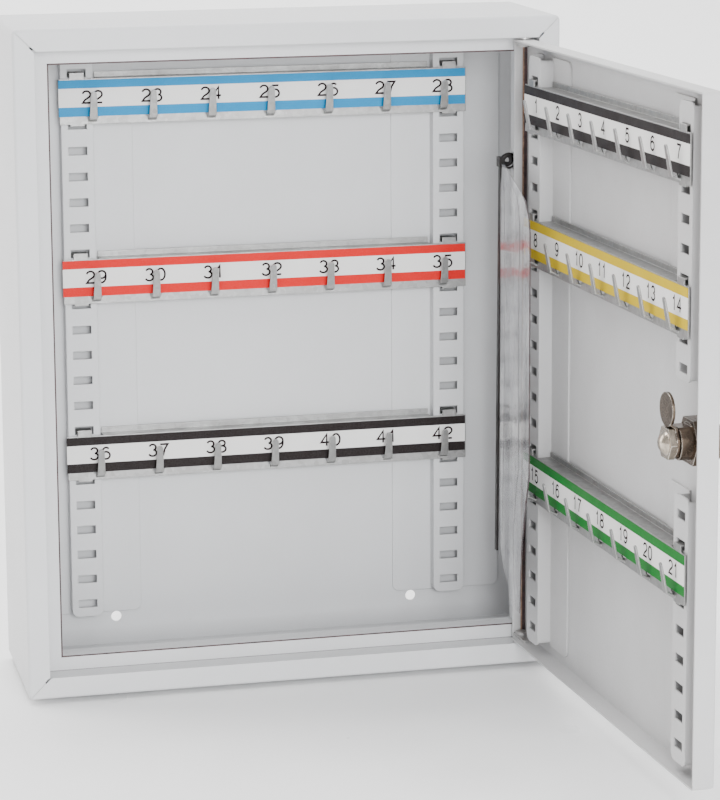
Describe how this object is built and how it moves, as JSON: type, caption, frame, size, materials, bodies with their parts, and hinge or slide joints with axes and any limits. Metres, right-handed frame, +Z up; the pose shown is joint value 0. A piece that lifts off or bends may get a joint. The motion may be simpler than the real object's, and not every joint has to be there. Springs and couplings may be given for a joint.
{
  "type": "key cabinet",
  "caption": "Wall-mounted steel key cabinet with a hinged cam-lock door, slotted rails and numbered hook strips with coloured labels inside the case and on the door.",
  "frame": {"origin": "centre of the back face, in the plane that lies on the wall, midway between the four wall holes", "axes": "+X to the right as seen from the front, +Y from the door towards the wall, +Z up"},
  "size_m": [0.3048, 0.3536, 0.366],
  "materials": {
    "grey_paint": "light grey textured powder coat, semi-matt",
    "galvanised": "dull galvanised sheet with bright cut edges",
    "hinge_steel": "plain zinc plated steel",
    "nickel": "bright nickel plate, lightly worn",
    "label_blue": "printed label, blue bands above and below a white band",
    "label_red": "printed label, red bands above and below a white band",
    "label_black": "printed label, black bands above and below a white band",
    "label_yellow": "printed label, yellow bands above and below a white band",
    "label_green": "printed label, green bands above and below a white band",
    "clear_film": "clear polythene film, creased",
    "nylon": "black nylon"
  },
  "bodies": {
    "case": {"case_frame": "grey_paint", "back_panel": "grey_paint", "rail_left": "grey_paint", "rail_right": "grey_paint", "case_strip_top": "galvanised", "case_strip_middle": "galvanised", "case_strip_bottom": "galvanised", "label_22_28": "label_blue", "label_29_35": "label_red", "label_36_42": "label_black", "hinge_washer_top": "hinge_steel", "hinge_washer_bottom": "hinge_steel", "cable_tie": "nylon", "clear_sleeve": "clear_film"},
    "door": {"door_pan": "grey_paint", "door_rail_hinge": "grey_paint", "door_rail_lock_upper": "grey_paint", "door_rail_lock_lower": "grey_paint", "door_strip_top": "galvanised", "door_strip_middle": "galvanised", "door_strip_bottom": "galvanised", "label_1_7": "label_black", "label_8_14": "label_yellow", "label_15_21": "label_green", "hinge_pin_top": "hinge_steel", "hinge_pin_bottom": "hinge_steel", "hinge_plate_top": "hinge_steel", "hinge_plate_bottom": "hinge_steel", "lock_barrel": "nickel", "lock_nut": "nickel"},
    "lock": {"lock_plug": "nickel", "lock_cam": "nickel", "cam_nut": "nickel"}
  },
  "joints": [
    {"name": "door_hinge", "type": "hinge", "parent": "case", "child": "door", "pos_m": [0.1308, -0.0858, 0], "axis": [0, 0, 1], "range_deg": [-93, 12], "deforming": ["clear_sleeve"]},
    {"name": "lock_turn", "type": "hinge", "parent": "door", "child": "lock", "pos_m": [0.14905, -0.33469, 0], "axis": [0.9986, 0.0523, 0], "range_deg": [0, 90]}
  ]
}
